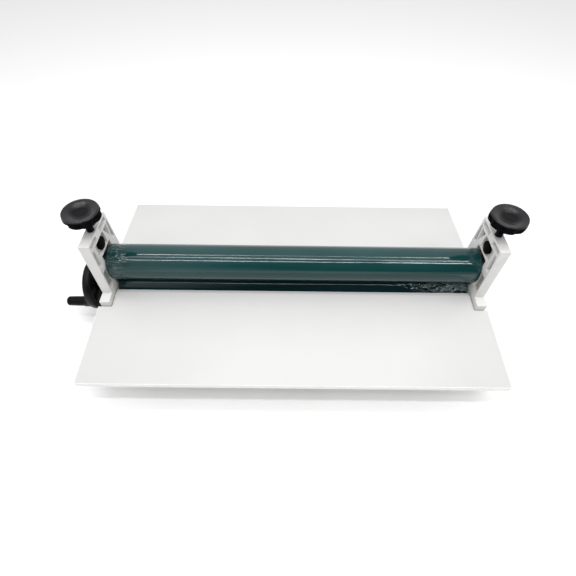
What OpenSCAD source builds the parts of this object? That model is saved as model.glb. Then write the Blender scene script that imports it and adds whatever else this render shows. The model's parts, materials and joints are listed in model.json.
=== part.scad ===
// Manual cold roll laminator, bench type.
// Two cast side frames carry a crank-driven lower roller and a spring-lifted upper roller
// that two hand knobs press down. A sloping board stands on each side of the rollers.
// Frame: +X to the right of the operator, +Y away from the operator, +Z up.
// The origin is under the middle of the whole machine, on the bench top.

/* [Rollers] */
// Length of the rubber face of each roller
roller_face = 662; // [450:1:1000]
// Outer radius of each roller over the rubber
roller_r = 32.8; // [31:0.1:34]
// Thickness of the rubber sleeve
rubber_t = 10; // [6:0.5:12]
// Wall of the steel tube inside the rubber
tube_wall = 3; // [2:0.5:5]
// Gap between the rollers with the knobs screwed down
nip_gap = 0.5; // [0.4:0.1:1]
// How far the upper roller rises when the knobs are unscrewed
lift = 12; // [6:1:12]

/* [Side frames] */
// Clear gap between a roller end and the side frame
end_gap = 1; // [1:0.5:4]
// Thickness of each cast side frame
frame_t = 17.5; // [17:0.5:20]
// Height of the frame top above the bench
frame_top = 204; // [203:1:206]
// Distance from the roller line to the front edge of the frame top
top_front = 40; // [38:1:44]
// Distance from the roller line to the front edge of the frame at board level
shoulder_front = 48; // [46:1:52]
// Distance from the roller line to the upright rear edge of the frame
rear_edge = 45; // [43:1:48]
// Half width over the lugs that stand beside the boards
lug_half = 69; // [64:1:71]
// Half width over the legs at the bench
leg_half = 78; // [74:1:90]
// Depth of the pockets cast into the inner face
pocket_d = 8; // [5:0.5:8.5]
// Height of the rubber feet
foot_h = 5; // [4:0.5:8]

/* [Boards] */
// Width of each board
board_w = 710; // [700:1:1100]
// Distance from the roller line to the outer edge of each board
board_reach = 215; // [190:1:320]
// Thickness of each board
board_t = 13; // [11:0.5:13]
// Height of the line where the two board tops would meet
ridge_z = 84; // [83:0.5:85]
// Fall of each board away from the rollers, in degrees
board_slope = 3.2; // [2:0.1:4]
// Thickness of the plastic edge band round each board
band_t = 1; // [0.8:0.1:2]

/* [Pressure screws] */
// Nominal radius of the pressure screw thread
screw_r = 6; // [5:0.1:6]
// Radius of the hand knob over its lobes
knob_r = 30; // [28:0.5:32]
// Height of the hand knob
knob_h = 21; // [18:0.5:23]
// Height of the underside of the knob above the frame top
knob_gap = 22.5; // [22:0.5:30]
// Number of lobes round the knob
knob_lobes = 7; // [5:1:9]

/* [Crank] */
// Radius of the crank wheel
wheel_r = 50.5; // [46:0.5:52]
// Width of the crank wheel rim
wheel_rim = 13.5; // [10:0.5:16]
// Distance from the frame to the inner side of the wheel rim
wheel_gap = 28.5; // [24:0.5:36]
// Radius of the grip circle about the roller line
crank_throw = 40; // [36:0.5:41]
// Direction of the grip from the roller line, in degrees
crank_angle = 190; // [0:1:359]
// Length of the turning grip
grip_len = 33; // [28:1:60]
// Radius of the turning grip
grip_r = 9.5; // [8:0.1:10]

/* [Hidden] */
$fn = 96;

// Fits: clearances on the radius, or on each side of a slide
eps = 0.05;
seat_fit = 0.02;
run_fit = 0.03;
slide_fit = 0.3;
bolt_fit = 0.2;

// How far a cutting shape passes the face that it opens
past = 1;

// Heights and side positions that the driving sizes lead to
axis_drop = 25.7;
lower_z = ridge_z - axis_drop;
upper_z = lower_z + 2 * roller_r + nip_gap;
face_half = roller_face / 2;
frame_in = face_half + end_gap;
frame_out = frame_in + frame_t;
frame_mid = frame_in + frame_t / 2;
tube_r = roller_r - rubber_t;
bore_r = tube_r - tube_wall;

// Slot that guides the upper bearing block, and the barrel nut in the recess above it
slot_half = 20.5;
slot_low = ridge_z;
slot_high = ridge_z + 76;
nut_r = 11.5;
nut_z = slot_high + 13.3;
nut_set = 1.5;
recess_d = 6;
lug_rise = 8;
rail = 3.5;

// Bearings: lower 15 x 32 x 9, upper 12 x 24 x 6
low_brg_r = 16;
low_shaft_r = 7.5;
low_brg_w = 9;
low_brg_set = 0.2;
up_brg_r = 12;
up_shaft_r = 6;
up_brg_w = 6;
shaft_gap = 1.5;
low_shaft_end = frame_out - 2;
up_shaft_end = frame_out - 5;

// Bearing block and the plate that holds the screw tip in it
block_t = frame_t - 2 * slide_fit;
block_half = slot_half - slide_fit;
block_low = upper_z - 18;
block_high = upper_z + 20;
retainer_t = 2.5;
neck_r = 3.4;
tip_h = 4;
pair_y = 11;
retainer_screw_r = 1.25;
retainer_head_r = 2.7;
lock_nut_h = 6;
knob_bore = 10;

// Covers, fixings and feet
plate_t = 1.5;
plate_half = 27;
plate_low = slot_low - 6;
plate_high = nut_z + 18;
plate_edge = 4;
plate_screw_r = 1.5;
washer_t = 1.2;
tie_y = 66;
tie_z = 20;
tie_r = 6;
stud_r = 4;
bolt_r = 3;
bar_y = 54;
bar_w = 20;
bar_h = 18;
arm_w = 30;
arm_t = 4;
arm_x = 240;
arm_end = 195;
board_screw_r = 1.75;
board_in = 33.2;
notch_gap = 1.5;
notch_x = frame_in - notch_gap;
notch_y = lug_half + notch_gap;
foot_y = 66;
foot_r = 8.4;
foot_screw_r = 1.95;
foot_head_r = 3.8;
foot_seat = 2.5;

// Crank wheel stations along X, measured outwards from the middle of the rollers
rim_in = frame_out + wheel_gap;
rim_out = rim_in + wheel_rim;
rim_w = 9;
web_in = rim_in + 4;
web_t = 5;
hub_r = 14;
hub_in = frame_out + 4;
hub_out = rim_out - 2;
boss_out = rim_out + 8;
end_washer_t = 1.6;
end_bolt_depth = 15;
spindle_r = 3.5;
spindle_seat_r = 4;
spindle_head_r = 5.5;
spindle_head_t = 2;
grip_in = boss_out + 0.6;
grip_out = grip_in + grip_len;

// Distance that puts the middle of the whole machine over the origin
mid_shift = (grip_out - max(board_w / 2, frame_mid + knob_r)) / 2;

// Moves a child onto the centre of the whole machine
module placed() {
    translate([mid_shift, 0, 0]) children();
}

// Draws a left or right part from a shape given on the right-hand side
module on_side(side) {
    placed() mirror([side < 0 ? 1 : 0, 0, 0]) children();
}

// Mirrors a front part to the rear: end is 1 for the front and -1 for the rear
module on_end(end) {
    placed() mirror([0, end < 0 ? 1 : 0, 0]) children();
}

// Round bar along X from x1 to x2 at a height z and a depth y
module bar_x(x1, x2, r, y = 0, z = 0) {
    translate([x1, y, z]) rotate([0, 90, 0]) cylinder(h = x2 - x1, r = r);
}

// Flat profile in the Y-Z plane, given its thickness from x1 to x2
module slab_x(x1, x2) {
    translate([x1, 0, 0]) rotate([90, 0, 90]) linear_extrude(x2 - x1) children();
}

// Board frame of reference: Z = 0 is the sloping top of the front board, Y runs along it
module on_slope() {
    translate([0, 0, ridge_z]) rotate([board_slope, 0, 0]) children();
}

// ---- Side frames ----

// Outline of a side frame seen from its side: a leaning front edge and an upright rear edge
module frame_outline() {
    lug_z = ridge_z + lug_rise;
    lug_low = ridge_z - 19;
    arch_z = foot_h + 17;
    foot_in = leg_half - 26;
    arch_in = leg_half - 38;
    leg = [[lug_half, lug_z], [lug_half, lug_low], [leg_half, arch_z - 1], [leg_half, foot_h],
        [foot_in, foot_h], [arch_in, arch_z]];
    rear = concat([[rear_edge, frame_top], [rear_edge, lug_z]], leg);
    front = concat([[top_front, frame_top], [shoulder_front, lug_z]], leg);
    polygon(concat(rear, [for (i = [len(front) - 1:-1:0]) [-front[i].x, front[i].y]]));
}

// Pockets that leave the top rail, the end posts and the ribs of the casting
module frame_pockets() {
    rail_low = frame_top - rail;
    beam_low = rail_low - 8.5;
    post_high = frame_top - 16;
    post_low = slot_high - 8;
    panel_high = slot_high - 21;
    panel_low = ridge_z + 14;
    rear_high = panel_high - 12;
    pier = 9;
    panel_in = 26;
    rib_in = 31;
    rear_in = rear_edge - 4;
    // Two short pockets under the top rail
    polygon([[-top_front + 4, beam_low], [-pier, beam_low], [-pier, rail_low],
        [-top_front + 4, rail_low]]);
    polygon([[pier, beam_low], [rear_in - 3, beam_low], [rear_in - 3, rail_low],
        [pier, rail_low]]);
    // Front post and the lower front panel
    polygon([[-top_front + 2.5, post_high], [-rib_in, post_high], [-rib_in, post_low],
        [-top_front - 2, post_low]]);
    polygon([[-panel_in, panel_high], [-shoulder_front + 6, panel_high],
        [-shoulder_front + 3, panel_low], [-panel_in, panel_low]]);
    // Rear post and the lower rear panel
    polygon([[rear_in - 4, post_high], [rear_in, post_high], [rear_in, post_low],
        [rib_in + 1, post_low]]);
    polygon([[panel_in, rear_high], [rear_in, rear_high], [rear_in, panel_low],
        [panel_in, panel_low]]);
    // Triangle behind the barrel nut
    polygon([[2 * pier, post_high - 1], [rear_in - 8, post_high - 1], [rib_in - 1, slot_high]]);
}

// Shallower recess in which the barrel nut and the pressure screw can be seen
module nut_recess() {
    top = frame_top - 16;
    bottom = slot_high + 1.8;
    polygon([[-24, top], [13, top], [14.5, top - 4], [14.5, bottom], [-27, bottom]]);
}

// Pockets below board level, round the lower bearing
module leg_pockets() {
    for (end = [0, 1]) mirror([end, 0]) {
        polygon([[27, ridge_z - 10], [42, ridge_z - 10], [46, 48], [27, 42]]);
        polygon([[30, 34], [50, 40], [66, 32], [66, 30], [46, 26], [36, 28]]);
    }
}

module side_frame(side) {
    foot_hole = 11;
    plate_tap = 8;
    color("gainsboro") on_side(side) difference() {
        slab_x(frame_in, frame_out) frame_outline();
        slab_x(frame_in - past, frame_in + pocket_d) frame_pockets();
        slab_x(frame_in - past, frame_in + pocket_d) leg_pockets();
        // Slot of the upper bearing block
        slab_x(frame_in - past, frame_out + past)
            translate([-slot_half, slot_low]) square([2 * slot_half, slot_high - slot_low]);
        // Recess and cross bore of the barrel nut
        slab_x(frame_in - past, frame_in + recess_d) nut_recess();
        bar_x(frame_in - past, frame_out + past, nut_r, 0, nut_z);
        // Clearance hole of the pressure screw
        translate([frame_mid, 0, slot_high - past])
            cylinder(h = frame_top - slot_high + 2 * past, r = screw_r + slide_fit);
        // Seat of the lower bearing and the way out of its shaft
        bar_x(frame_in - past, frame_in + low_brg_w + low_brg_set, low_brg_r + seat_fit, 0, lower_z);
        bar_x(frame_in - past, frame_out + past, low_shaft_r + shaft_gap, 0, lower_z);
        // Holes of the tie rods, the cross bar bolts, the foot screws and the cover screws
        for (end = [-1, 1]) {
            bar_x(frame_in - past, frame_out + past, stud_r + bolt_fit, end * tie_y, tie_z);
            on_bar_axis(end) bar_x(frame_in - past, frame_out + past, bolt_r + bolt_fit);
            translate([frame_mid, end * foot_y, foot_h - past])
                cylinder(h = foot_hole, r = foot_screw_r + eps);
        }
        plate_screw_places() bar_x(frame_out - plate_tap, frame_out + past, plate_screw_r + 0.1);
    }
}

module left_side_frame() {
    side_frame(-1);
}

module right_side_frame() {
    side_frame(1);
}

// Centre line of a board support bar, which the bolts through the frames share
module on_bar_axis(end) {
    mirror([0, end < 0 ? 1 : 0, 0]) on_slope()
        translate([0, -bar_y, -board_t - arm_t - bar_h / 2]) children();
}

// Places of the four screws that hold one cover plate
module plate_screw_places() {
    for (y = [-1, 1], z = [plate_low + plate_edge, plate_high - plate_edge])
        translate([0, y * (plate_half - plate_edge), z]) children();
}

module cover_plate(side) {
    color("gainsboro") on_side(side) difference() {
        slab_x(frame_out, frame_out + plate_t)
            translate([-plate_half, plate_low])
                square([2 * plate_half, plate_high - plate_low]);
        plate_screw_places()
            bar_x(frame_out - past, frame_out + plate_t + past, plate_screw_r + slide_fit);
    }
}

module left_cover_plate() {
    cover_plate(-1);
}

module right_cover_plate() {
    cover_plate(1);
}

module cover_plate_screws() {
    screw_len = 7;
    head_r = 3;
    head_h = 1.8;
    color("silver") for (side = [-1, 1]) on_side(side) plate_screw_places() {
        bar_x(frame_out - screw_len, frame_out + plate_t + eps, plate_screw_r);
        bar_x(frame_out + plate_t, frame_out + plate_t + head_h, head_r);
    }
}

// ---- Boards and their supports ----

// Plan of a front board, with the corners cut away beside the side frames
module board_plan(inset = 0) {
    side_x = board_w / 2 - inset;
    polygon([[-side_x, -board_reach + inset], [side_x, -board_reach + inset],
        [side_x, -notch_y], [notch_x, -notch_y], [notch_x, -board_in],
        [-notch_x, -board_in], [-notch_x, -notch_y], [-side_x, -notch_y]]);
}

module board(end) {
    color("white") on_end(end) on_slope() difference() {
        translate([0, 0, -board_t]) linear_extrude(board_t) board_plan(band_t);
        board_screw_places()
            translate([0, 0, -board_t - past]) cylinder(h = 9 + past, r = board_screw_r + eps);
    }
}

module front_board() {
    board(1);
}

module rear_board() {
    board(-1);
}

module edge_band(end) {
    color("whitesmoke") on_end(end) on_slope() translate([0, 0, -board_t])
        linear_extrude(board_t) difference() {
            board_plan();
            board_plan(band_t);
        }
}

module front_board_edge_band() {
    edge_band(1);
}

module rear_board_edge_band() {
    edge_band(-1);
}

// Places of the screws that hold one board on its three arms
module board_screw_places() {
    for (x = [-arm_x, 0, arm_x], y = [-bar_y - 31, -arm_end + 15])
        translate([x, y, 0]) children();
}

// Hollow cross bar bolted between the side frames under one board
module cross_bar(end) {
    bar_top = -board_t - arm_t;
    plug = 25;
    wall = 2;
    color("dimgray") on_end(end) on_slope() difference() {
        translate([-frame_in, -bar_y - bar_w / 2, bar_top - bar_h])
            cube([2 * frame_in, bar_w, bar_h]);
        translate([-frame_in + plug, -bar_y - bar_w / 2 + wall, bar_top - bar_h + wall])
            cube([2 * (frame_in - plug), bar_w - 2 * wall, bar_h - 2 * wall]);
        for (side = [0, 1]) mirror([side, 0, 0])
            translate([0, -bar_y, bar_top - bar_h / 2])
                bar_x(frame_in - plug + 5, frame_in + past, bolt_r);
    }
}

module front_cross_bar() {
    cross_bar(1);
}

module rear_cross_bar() {
    cross_bar(-1);
}

// Three arms welded on the cross bar, each with a stiffening flange along one side
module board_arms(end) {
    flange_h = 9;
    flange_t = 4;
    flange_end = arm_end - 30;
    color("dimgray") on_end(end) on_slope() for (x = [-arm_x, 0, arm_x]) difference() {
        translate([x - arm_w / 2, 0, -board_t - arm_t]) {
            translate([0, -arm_end, 0]) cube([arm_w, arm_end - bar_y + bar_w / 2, arm_t]);
            translate([0, -flange_end, -flange_h])
                cube([flange_t, flange_end - bar_y - bar_w / 2, flange_h + eps]);
        }
        board_screw_places() translate([0, 0, -board_t - arm_t - past])
            cylinder(h = arm_t + 2 * past, r = board_screw_r + 2 * bolt_fit);
    }
}

module front_board_arms() {
    board_arms(1);
}

module rear_board_arms() {
    board_arms(-1);
}

module board_screws() {
    grip_depth = 7.5;
    head_r = 4;
    head_h = 2.5;
    color("silver") for (end = [-1, 1]) on_end(end) on_slope() board_screw_places()
        translate([0, 0, -board_t - arm_t]) {
            cylinder(h = arm_t + grip_depth, r = board_screw_r);
            translate([0, 0, -head_h]) cylinder(h = head_h, r = head_r);
        }
}

module cross_bar_bolts() {
    grip_depth = 18;
    head_r = 5.6;
    head_h = 4;
    washer_r = 6.5;
    color("silver") for (side = [-1, 1], end = [-1, 1]) on_side(side) on_bar_axis(end) {
        bar_x(frame_in - grip_depth, frame_out, bolt_r);
        bar_x(frame_out, frame_out + washer_t, washer_r);
        translate([frame_out + washer_t, 0, 0]) rotate([0, 90, 0])
            cylinder(h = head_h, r = head_r, $fn = 6);
    }
}

module tie_rod(end) {
    stud_len = 9;
    color("silver") on_end(end) translate([0, -tie_y, tie_z]) {
        bar_x(-frame_in, frame_in, tie_r);
        bar_x(-frame_out - stud_len, frame_out + stud_len, stud_r);
    }
}

module front_tie_rod() {
    tie_rod(1);
}

module rear_tie_rod() {
    tie_rod(-1);
}

module tie_rod_nuts() {
    washer_r = 8;
    hex_r = 7.3;
    hex_h = 6.5;
    color("silver") for (side = [-1, 1], end = [-1, 1]) on_side(side)
        translate([frame_out, end * tie_y, tie_z]) rotate([0, 90, 0]) difference() {
            union() {
                cylinder(h = washer_t, r = washer_r);
                translate([0, 0, washer_t]) cylinder(h = hex_h, r = hex_r, $fn = 6);
            }
            translate([0, 0, -past])
                cylinder(h = washer_t + hex_h + 2 * past, r = stud_r + seat_fit);
        }
}

// ---- Fixed parts inside the side frames ----

module barrel_nut(side) {
    color("dimgray") on_side(side) difference() {
        bar_x(frame_in + nut_set, frame_out - 2 * eps, nut_r - run_fit, 0, nut_z);
        translate([frame_mid, 0, nut_z - nut_r - past])
            cylinder(h = 2 * nut_r + 2 * past, r = screw_r + run_fit);
    }
}

module left_barrel_nut() {
    barrel_nut(-1);
}

module right_barrel_nut() {
    barrel_nut(1);
}

// Sealed ball bearing with its inner side at x1
module bearing(x1, width, outer_r, inner_r) {
    groove = (outer_r - inner_r) * 0.55;
    race = 2;
    seal_depth = 0.4;
    translate([x1, 0, 0]) rotate([0, 90, 0]) difference() {
        cylinder(h = width, r = outer_r);
        translate([0, 0, -past]) cylinder(h = width + 2 * past, r = inner_r);
        // Recess in which the seal sits
        translate([0, 0, -past]) difference() {
            cylinder(h = past + seal_depth, r = inner_r + race + groove);
            cylinder(h = past + seal_depth, r = inner_r + race);
        }
    }
}

module lower_bearing(side) {
    color("silver") on_side(side) translate([0, 0, lower_z])
        bearing(frame_in + low_brg_set, low_brg_w, low_brg_r, low_shaft_r + run_fit);
}

module left_lower_bearing() {
    lower_bearing(-1);
}

module right_lower_bearing() {
    lower_bearing(1);
}

// Places of the four feet, on the bench top under the side frames
module foot_places() {
    for (side = [-1, 1], end = [-1, 1]) on_side(side)
        translate([frame_mid, end * foot_y, 0]) children();
}

module rubber_feet() {
    color("black") foot_places() difference() {
        cylinder(h = foot_h, r1 = foot_r - 1, r2 = foot_r);
        translate([0, 0, -past]) cylinder(h = foot_seat + past, r = foot_head_r + 0.7);
        cylinder(h = foot_h + past, r = foot_screw_r + eps);
    }
}

module foot_screws() {
    head_h = 1.5;
    color("silver") foot_places() translate([0, 0, foot_seat]) {
        cylinder(h = foot_h + 6, r = foot_screw_r);
        translate([0, 0, -head_h]) cylinder(h = head_h, r = foot_head_r);
    }
}

// Round wire wound up from z = 0 as one swept solid
module coil_spring(height, coil_r, wire_r, turns) {
    sides = 8;
    per_turn = 14;
    rings = turns * per_turn;
    rise = height - 2 * wire_r;
    points = [for (i = [0:rings], j = [0:sides - 1])
        let (a = 360 * i / per_turn, b = 360 * j / sides, r = coil_r + wire_r * cos(b))
        [r * cos(a), r * sin(a), wire_r + rise * i / rings + wire_r * sin(b)]];
    walls = [for (i = [0:rings - 1], j = [0:sides - 1])
        let (k = (j + 1) % sides)
        [i * sides + j, i * sides + k, (i + 1) * sides + k, (i + 1) * sides + j]];
    first = [for (j = [sides - 1:-1:0]) j];
    last = [for (j = [0:sides - 1]) rings * sides + j];
    polyhedron(points = points, faces = concat([first], walls, [last]), convexity = 8);
}

module lift_springs(side) {
    coil_r = 5;
    wire_r = 0.8;
    turns = 5;
    color("silver") on_side(side) for (y = [-pair_y, pair_y])
        translate([frame_mid, y, slot_low + eps])
            coil_spring(block_low - slot_low - 2 * eps, coil_r, wire_r, turns);
}

module left_lift_springs() {
    lift_springs(-1);
}

module right_lift_springs() {
    lift_springs(1);
}

// ---- Rollers ----

module roller_tube() {
    placed() rotate([0, 90, 0]) translate([0, 0, -face_half]) difference() {
        cylinder(h = roller_face, r = tube_r);
        translate([0, 0, -past]) cylinder(h = roller_face + 2 * past, r = bore_r);
    }
}

module roller_rubber() {
    placed() rotate([0, 90, 0]) translate([0, 0, -face_half]) difference() {
        cylinder(h = roller_face, r = roller_r);
        translate([0, 0, -past]) cylinder(h = roller_face + 2 * past, r = tube_r);
    }
}

// Plug pressed into the tube with the shaft that turns in the bearing
module stub_shaft(side, shaft_r, shaft_end) {
    plug_len = 25;
    collar = 3;
    on_side(side) {
        bar_x(face_half - plug_len, face_half, bore_r);
        bar_x(face_half - past, frame_in - 0.4, shaft_r + collar);
        bar_x(face_half - past, shaft_end, shaft_r);
    }
}

module lower_roller_tube() {
    color("silver") translate([0, 0, lower_z]) roller_tube();
}

module lower_roller_rubber() {
    color("darkslategray") translate([0, 0, lower_z]) roller_rubber();
}

module lower_left_stub_shaft() {
    color("silver") difference() {
        translate([0, 0, lower_z]) stub_shaft(-1, low_shaft_r, hub_out);
        crank_place() bar_x(hub_out - end_bolt_depth, hub_out + past, bolt_r);
    }
}

module lower_right_stub_shaft() {
    color("silver") translate([0, 0, lower_z]) stub_shaft(1, low_shaft_r, low_shaft_end);
}

module upper_roller_tube() {
    color("silver") translate([0, 0, upper_z]) roller_tube();
}

module upper_roller_rubber() {
    color("darkslategray") translate([0, 0, upper_z]) roller_rubber();
}

module upper_left_stub_shaft() {
    color("silver") translate([0, 0, upper_z]) stub_shaft(-1, up_shaft_r, up_shaft_end);
}

module upper_right_stub_shaft() {
    color("silver") translate([0, 0, upper_z]) stub_shaft(1, up_shaft_r, up_shaft_end);
}

// ---- Crank ----

// Puts a child at the roller line of the left end, with +X pointing outwards
module crank_place() {
    on_side(-1) translate([0, 0, lower_z]) children();
}

// Puts a child on the grip circle of the crank
module grip_place() {
    crank_place() translate([0, crank_throw * cos(crank_angle), crank_throw * sin(crank_angle)])
        children();
}

// Turned section of the wheel: radius against distance from the middle of the rollers
module wheel_section() {
    rim_r = wheel_r - rim_w;
    soft = 0.9;
    hub_side = [[low_shaft_r, hub_in], [hub_r - 1, hub_in], [hub_r, hub_in + 1], [hub_r, web_in]];
    rim_side = [[rim_r, web_in], [rim_r, rim_in + 1], [rim_r + 1, rim_in], [wheel_r - 3, rim_in],
        [wheel_r - soft, rim_in + soft], [wheel_r, rim_in + 3], [wheel_r, rim_out - 3],
        [wheel_r - soft, rim_out - soft], [wheel_r - 3, rim_out], [rim_r + 1, rim_out],
        [rim_r, rim_out - 1], [rim_r, web_in + web_t]];
    outer_side = [[hub_r, web_in + web_t], [hub_r, hub_out - 1], [hub_r - 1, hub_out],
        [low_shaft_r, hub_out]];
    polygon(concat(hub_side, rim_side, outer_side));
}

module crank_wheel() {
    boss_r = 10.5;
    rib_w = 4;
    color([0.13, 0.13, 0.14]) difference() {
        union() {
            crank_place() rotate([0, 90, 0]) rotate_extrude() wheel_section();
            grip_place() bar_x(web_in + 1, boss_out, boss_r);
            // Ribs on both sides of the web
            crank_place() for (a = [0:60:300]) rotate([a + crank_angle, 0, 0])
                translate([rim_in + 1, hub_r - 1, -rib_w / 2])
                    cube([wheel_rim - 2, wheel_r - rim_w - hub_r + 2, rib_w]);
        }
        grip_place() bar_x(web_in - 5, boss_out + past, spindle_seat_r);
    }
}

module crank_washer() {
    color("silver") crank_place() difference() {
        bar_x(hub_out, hub_out + end_washer_t, 10);
        bar_x(hub_out - past, hub_out + end_washer_t + past, bolt_r);
    }
}

module crank_end_bolt() {
    head_r = 5.8;
    head_h = 4;
    color("silver") crank_place() {
        bar_x(hub_out - end_bolt_depth, hub_out + end_washer_t, bolt_r);
        translate([hub_out + end_washer_t, 0, 0]) rotate([0, 90, 0])
            cylinder(h = head_h, r = head_r, $fn = 6);
    }
}

module grip_spindle() {
    head_in = grip_out - 5.1;
    color("silver") grip_place() {
        bar_x(web_in + 1, boss_out + slide_fit, spindle_seat_r);
        bar_x(boss_out + slide_fit, head_in + eps, spindle_r);
        bar_x(head_in, head_in + spindle_head_t, spindle_head_r);
    }
}

// Turning grip, closed and rounded at its outer end
module crank_grip() {
    round_r = 4;
    end_r = grip_r - 0.5;
    head_room = grip_len - 5.5;
    color([0.12, 0.12, 0.13]) grip_place() translate([grip_in, 0, 0]) rotate([0, 90, 0])
        difference() {
            rotate_extrude() {
                polygon([[0, 0], [grip_r - 1, 0], [grip_r, 1], [end_r, grip_len - round_r],
                    [end_r - round_r, grip_len], [0, grip_len]]);
                translate([end_r - round_r, grip_len - round_r]) intersection() {
                    circle(r = round_r);
                    square(round_r);
                }
            }
            // Bore for the spindle and room for its head
            translate([0, 0, -past]) cylinder(h = head_room + 2 * past, r = spindle_r + run_fit);
            translate([0, 0, head_room])
                cylinder(h = spindle_head_t + 0.8, r = spindle_head_r + slide_fit);
        }
}

// ---- Carriage of the upper roller ----

module bearing_block(side) {
    color("lightgray") on_side(side) difference() {
        translate([frame_in + slide_fit, -block_half, block_low])
            cube([block_t, 2 * block_half, block_high - block_low]);
        translate([0, 0, upper_z]) {
            bar_x(frame_in, frame_in + slide_fit + up_brg_w, up_brg_r + seat_fit);
            bar_x(frame_in, up_shaft_end + 1, up_shaft_r + 1);
        }
        // Room for the tip of the pressure screw
        translate([frame_mid, 0, block_high - tip_h - slide_fit])
            cylinder(h = tip_h + past, r = screw_r + slide_fit);
        for (y = [-pair_y, pair_y]) translate([frame_mid, y, block_high - 5])
            cylinder(h = 5 + past, r = retainer_screw_r + eps);
    }
}

module left_bearing_block() {
    bearing_block(-1);
}

module right_bearing_block() {
    bearing_block(1);
}

module upper_bearing(side) {
    color("silver") on_side(side) translate([0, 0, upper_z])
        bearing(frame_in + slide_fit, up_brg_w, up_brg_r, up_shaft_r + run_fit);
}

module left_upper_bearing() {
    upper_bearing(-1);
}

module right_upper_bearing() {
    upper_bearing(1);
}

// Forked plate that holds the screw tip down in its block
module screw_retainer(side) {
    plate_w = 30;
    color("silver") on_side(side) translate([0, 0, block_high]) difference() {
        translate([frame_in + slide_fit, -plate_w / 2, 0]) cube([block_t, plate_w, retainer_t]);
        translate([frame_mid, 0, -past])
            cylinder(h = retainer_t + 2 * past, r = neck_r + slide_fit);
        translate([frame_in, -neck_r - slide_fit, -past])
            cube([frame_t / 2, 2 * (neck_r + slide_fit), retainer_t + 2 * past]);
        for (y = [-pair_y, pair_y]) translate([frame_mid, y, -past]) {
            cylinder(h = retainer_t + 2 * past, r = retainer_screw_r + bolt_fit);
            translate([0, 0, retainer_t - 0.5]) cylinder(h = 2 * past, r = retainer_head_r + 0.1);
        }
    }
}

module left_screw_retainer() {
    screw_retainer(-1);
}

module right_screw_retainer() {
    screw_retainer(1);
}

module retainer_screws() {
    head_z = retainer_t - 1.5;
    screw_depth = 4;
    color("silver") for (side = [-1, 1], y = [-pair_y, pair_y]) on_side(side)
        translate([frame_mid, y, block_high]) {
            translate([0, 0, -screw_depth]) cylinder(h = screw_depth + head_z, r = retainer_screw_r);
            translate([0, 0, head_z]) cylinder(h = 1.4, r = retainer_head_r);
        }
}

// ---- Pressure screws and hand knobs ----

// Screw held by its tip in a bearing block and turning in the barrel nut
module pressure_screw(side) {
    tip_z = block_high - tip_h;
    body_z = block_high + retainer_t + slide_fit;
    body_end = frame_top + knob_gap + knob_bore;
    color("dimgray") on_side(side) translate([frame_mid, 0, 0]) {
        translate([0, 0, tip_z]) cylinder(h = tip_h - slide_fit, r = screw_r);
        translate([0, 0, tip_z]) cylinder(h = body_z - tip_z + 2 * eps, r = neck_r);
        translate([0, 0, body_z]) cylinder(h = body_end - body_z, r = screw_r);
    }
}

module left_pressure_screw() {
    pressure_screw(-1);
}

module right_pressure_screw() {
    pressure_screw(1);
}

module lock_nut(side) {
    color("dimgray") on_side(side) translate([frame_mid, 0, frame_top + knob_gap - lock_nut_h])
        difference() {
            cylinder(h = lock_nut_h, r = screw_r + 4, $fn = 6);
            translate([0, 0, -past]) cylinder(h = lock_nut_h + 2 * past, r = screw_r + seat_fit);
        }
}

module left_lock_nut() {
    lock_nut(-1);
}

module right_lock_nut() {
    lock_nut(1);
}

// Knob with a raised rim round a dished top and shallow lobes round its skirt
module knob(side) {
    dish_z = knob_h - 4.5;
    scallop_r = 10;
    scallop_d = 4;
    scallop_h = knob_h - 6;
    color([0.12, 0.12, 0.13]) on_side(side)
        translate([frame_mid, 0, frame_top + knob_gap]) difference() {
            rotate_extrude() polygon([[0, 0], [9, 0], [10, 2.5], [knob_r - 4.5, 4.5],
                [knob_r - 1, 6.5], [knob_r, 9], [knob_r, knob_h - 5.5], [knob_r - 0.8, knob_h - 2],
                [knob_r - 2.4, knob_h - 0.3], [knob_r - 3.8, knob_h], [knob_r - 5.2, knob_h - 0.7],
                [knob_r - 8, dish_z + 1.2], [knob_r - 12, dish_z], [0, dish_z]]);
            for (i = [0:knob_lobes - 1]) rotate([0, 0, 360 * (i + 0.5) / knob_lobes])
                translate([knob_r + scallop_r - scallop_d, 0, 1])
                    cylinder(h = scallop_h, r = scallop_r);
            translate([0, 0, -past]) cylinder(h = knob_bore + past, r = screw_r + seat_fit);
        }
}

module left_knob() {
    knob(-1);
}

module right_knob() {
    knob(1);
}

left_side_frame();
right_side_frame();
left_cover_plate();
right_cover_plate();
cover_plate_screws();
front_board();
rear_board();
front_board_edge_band();
rear_board_edge_band();
front_cross_bar();
rear_cross_bar();
front_board_arms();
rear_board_arms();
board_screws();
cross_bar_bolts();
front_tie_rod();
rear_tie_rod();
tie_rod_nuts();
left_barrel_nut();
right_barrel_nut();
left_lower_bearing();
right_lower_bearing();
rubber_feet();
foot_screws();
left_lift_springs();
right_lift_springs();
lower_roller_tube();
lower_roller_rubber();
lower_left_stub_shaft();
lower_right_stub_shaft();
crank_wheel();
crank_washer();
crank_end_bolt();
grip_spindle();
crank_grip();
left_bearing_block();
right_bearing_block();
left_upper_bearing();
right_upper_bearing();
left_screw_retainer();
right_screw_retainer();
retainer_screws();
upper_roller_tube();
upper_roller_rubber();
upper_left_stub_shaft();
upper_right_stub_shaft();
left_pressure_screw();
right_pressure_screw();
left_lock_nut();
right_lock_nut();
left_knob();
right_knob();
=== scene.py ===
import json
import math
import random

import bmesh
import bpy
import numpy as np
from mathutils import Matrix, Vector


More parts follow.
